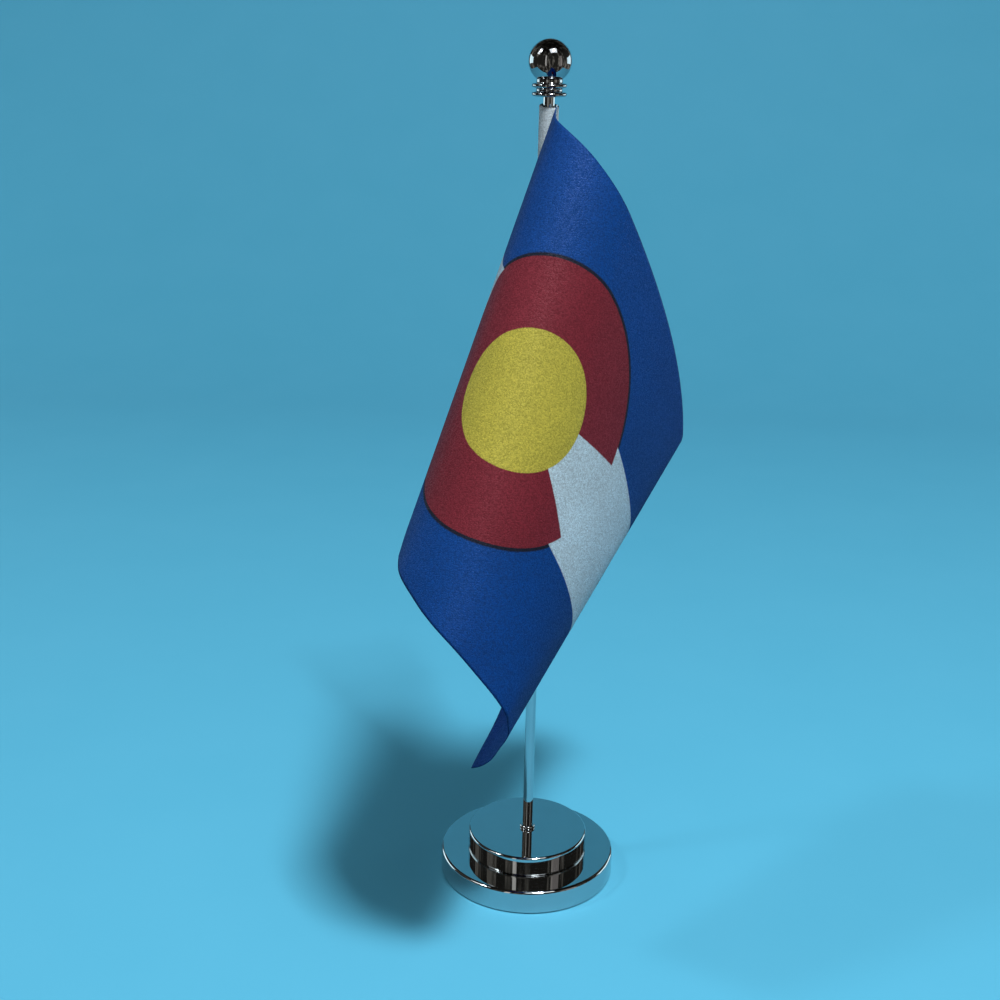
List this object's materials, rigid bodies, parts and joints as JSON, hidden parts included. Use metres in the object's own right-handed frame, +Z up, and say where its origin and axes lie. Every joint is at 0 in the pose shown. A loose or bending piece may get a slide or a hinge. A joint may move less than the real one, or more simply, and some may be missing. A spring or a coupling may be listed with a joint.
{
  "type": "desk flag stand",
  "caption": "Small cloth flag, rolled into a loose cone, on a thin plated rod with a ball finial and a two-tier round weighted base.",
  "frame": {"origin": "centre of the foot pad's underside, on the rod's axis", "axes": "+Z up along the rod; -Y towards the flag's right side; +X to the right of someone who faces it"},
  "size_m": [0.1006, 0.1437, 0.326],
  "materials": {
    "foam": "matte closed-cell foam",
    "chrome_plate": "mirror-polished chrome plate",
    "finial_plate": "dark mirror nickel-chrome plate",
    "cast_iron": "rough as-cast iron",
    "zinc_steel": "zinc-plated steel",
    "brass": "plain turned brass",
    "printed_cloth": "printed woven polyester in three stripes with a ring and a disc",
    "white_cloth": "white woven polyester",
    "thread": "white polyester sewing thread"
  },
  "bodies": {
    "base": {"foot_pad": "foam", "lower_shell": "chrome_plate", "lower_weight": "cast_iron", "upper_disc": "chrome_plate", "clamp_bush": "zinc_steel", "spring_washer": "zinc_steel", "flat_washer": "zinc_steel"},
    "mast": {"rod": "chrome_plate", "rod_collar": "chrome_plate"},
    "finial": {"finial_bush": "brass", "finial_collar": "finial_plate", "finial_ball": "finial_plate"},
    "flag": {"flag_panel": "printed_cloth", "flag_sleeve": "white_cloth", "seam_thread": "thread"}
  },
  "joints": [
    {"name": "rod_turn", "type": "hinge", "parent": "base", "child": "mast", "pos_m": [0, 0, 0.018], "axis": [0, 0, 1], "continuous": true},
    {"name": "finial_lift", "type": "slide", "parent": "mast", "child": "finial", "axis": [0, 0, 1], "range_m": [0, 0.012]},
    {"name": "flag_swivel", "type": "hinge", "parent": "mast", "child": "flag", "pos_m": [0, 0, 0.235], "axis": [0, 0, 1], "continuous": true}
  ]
}
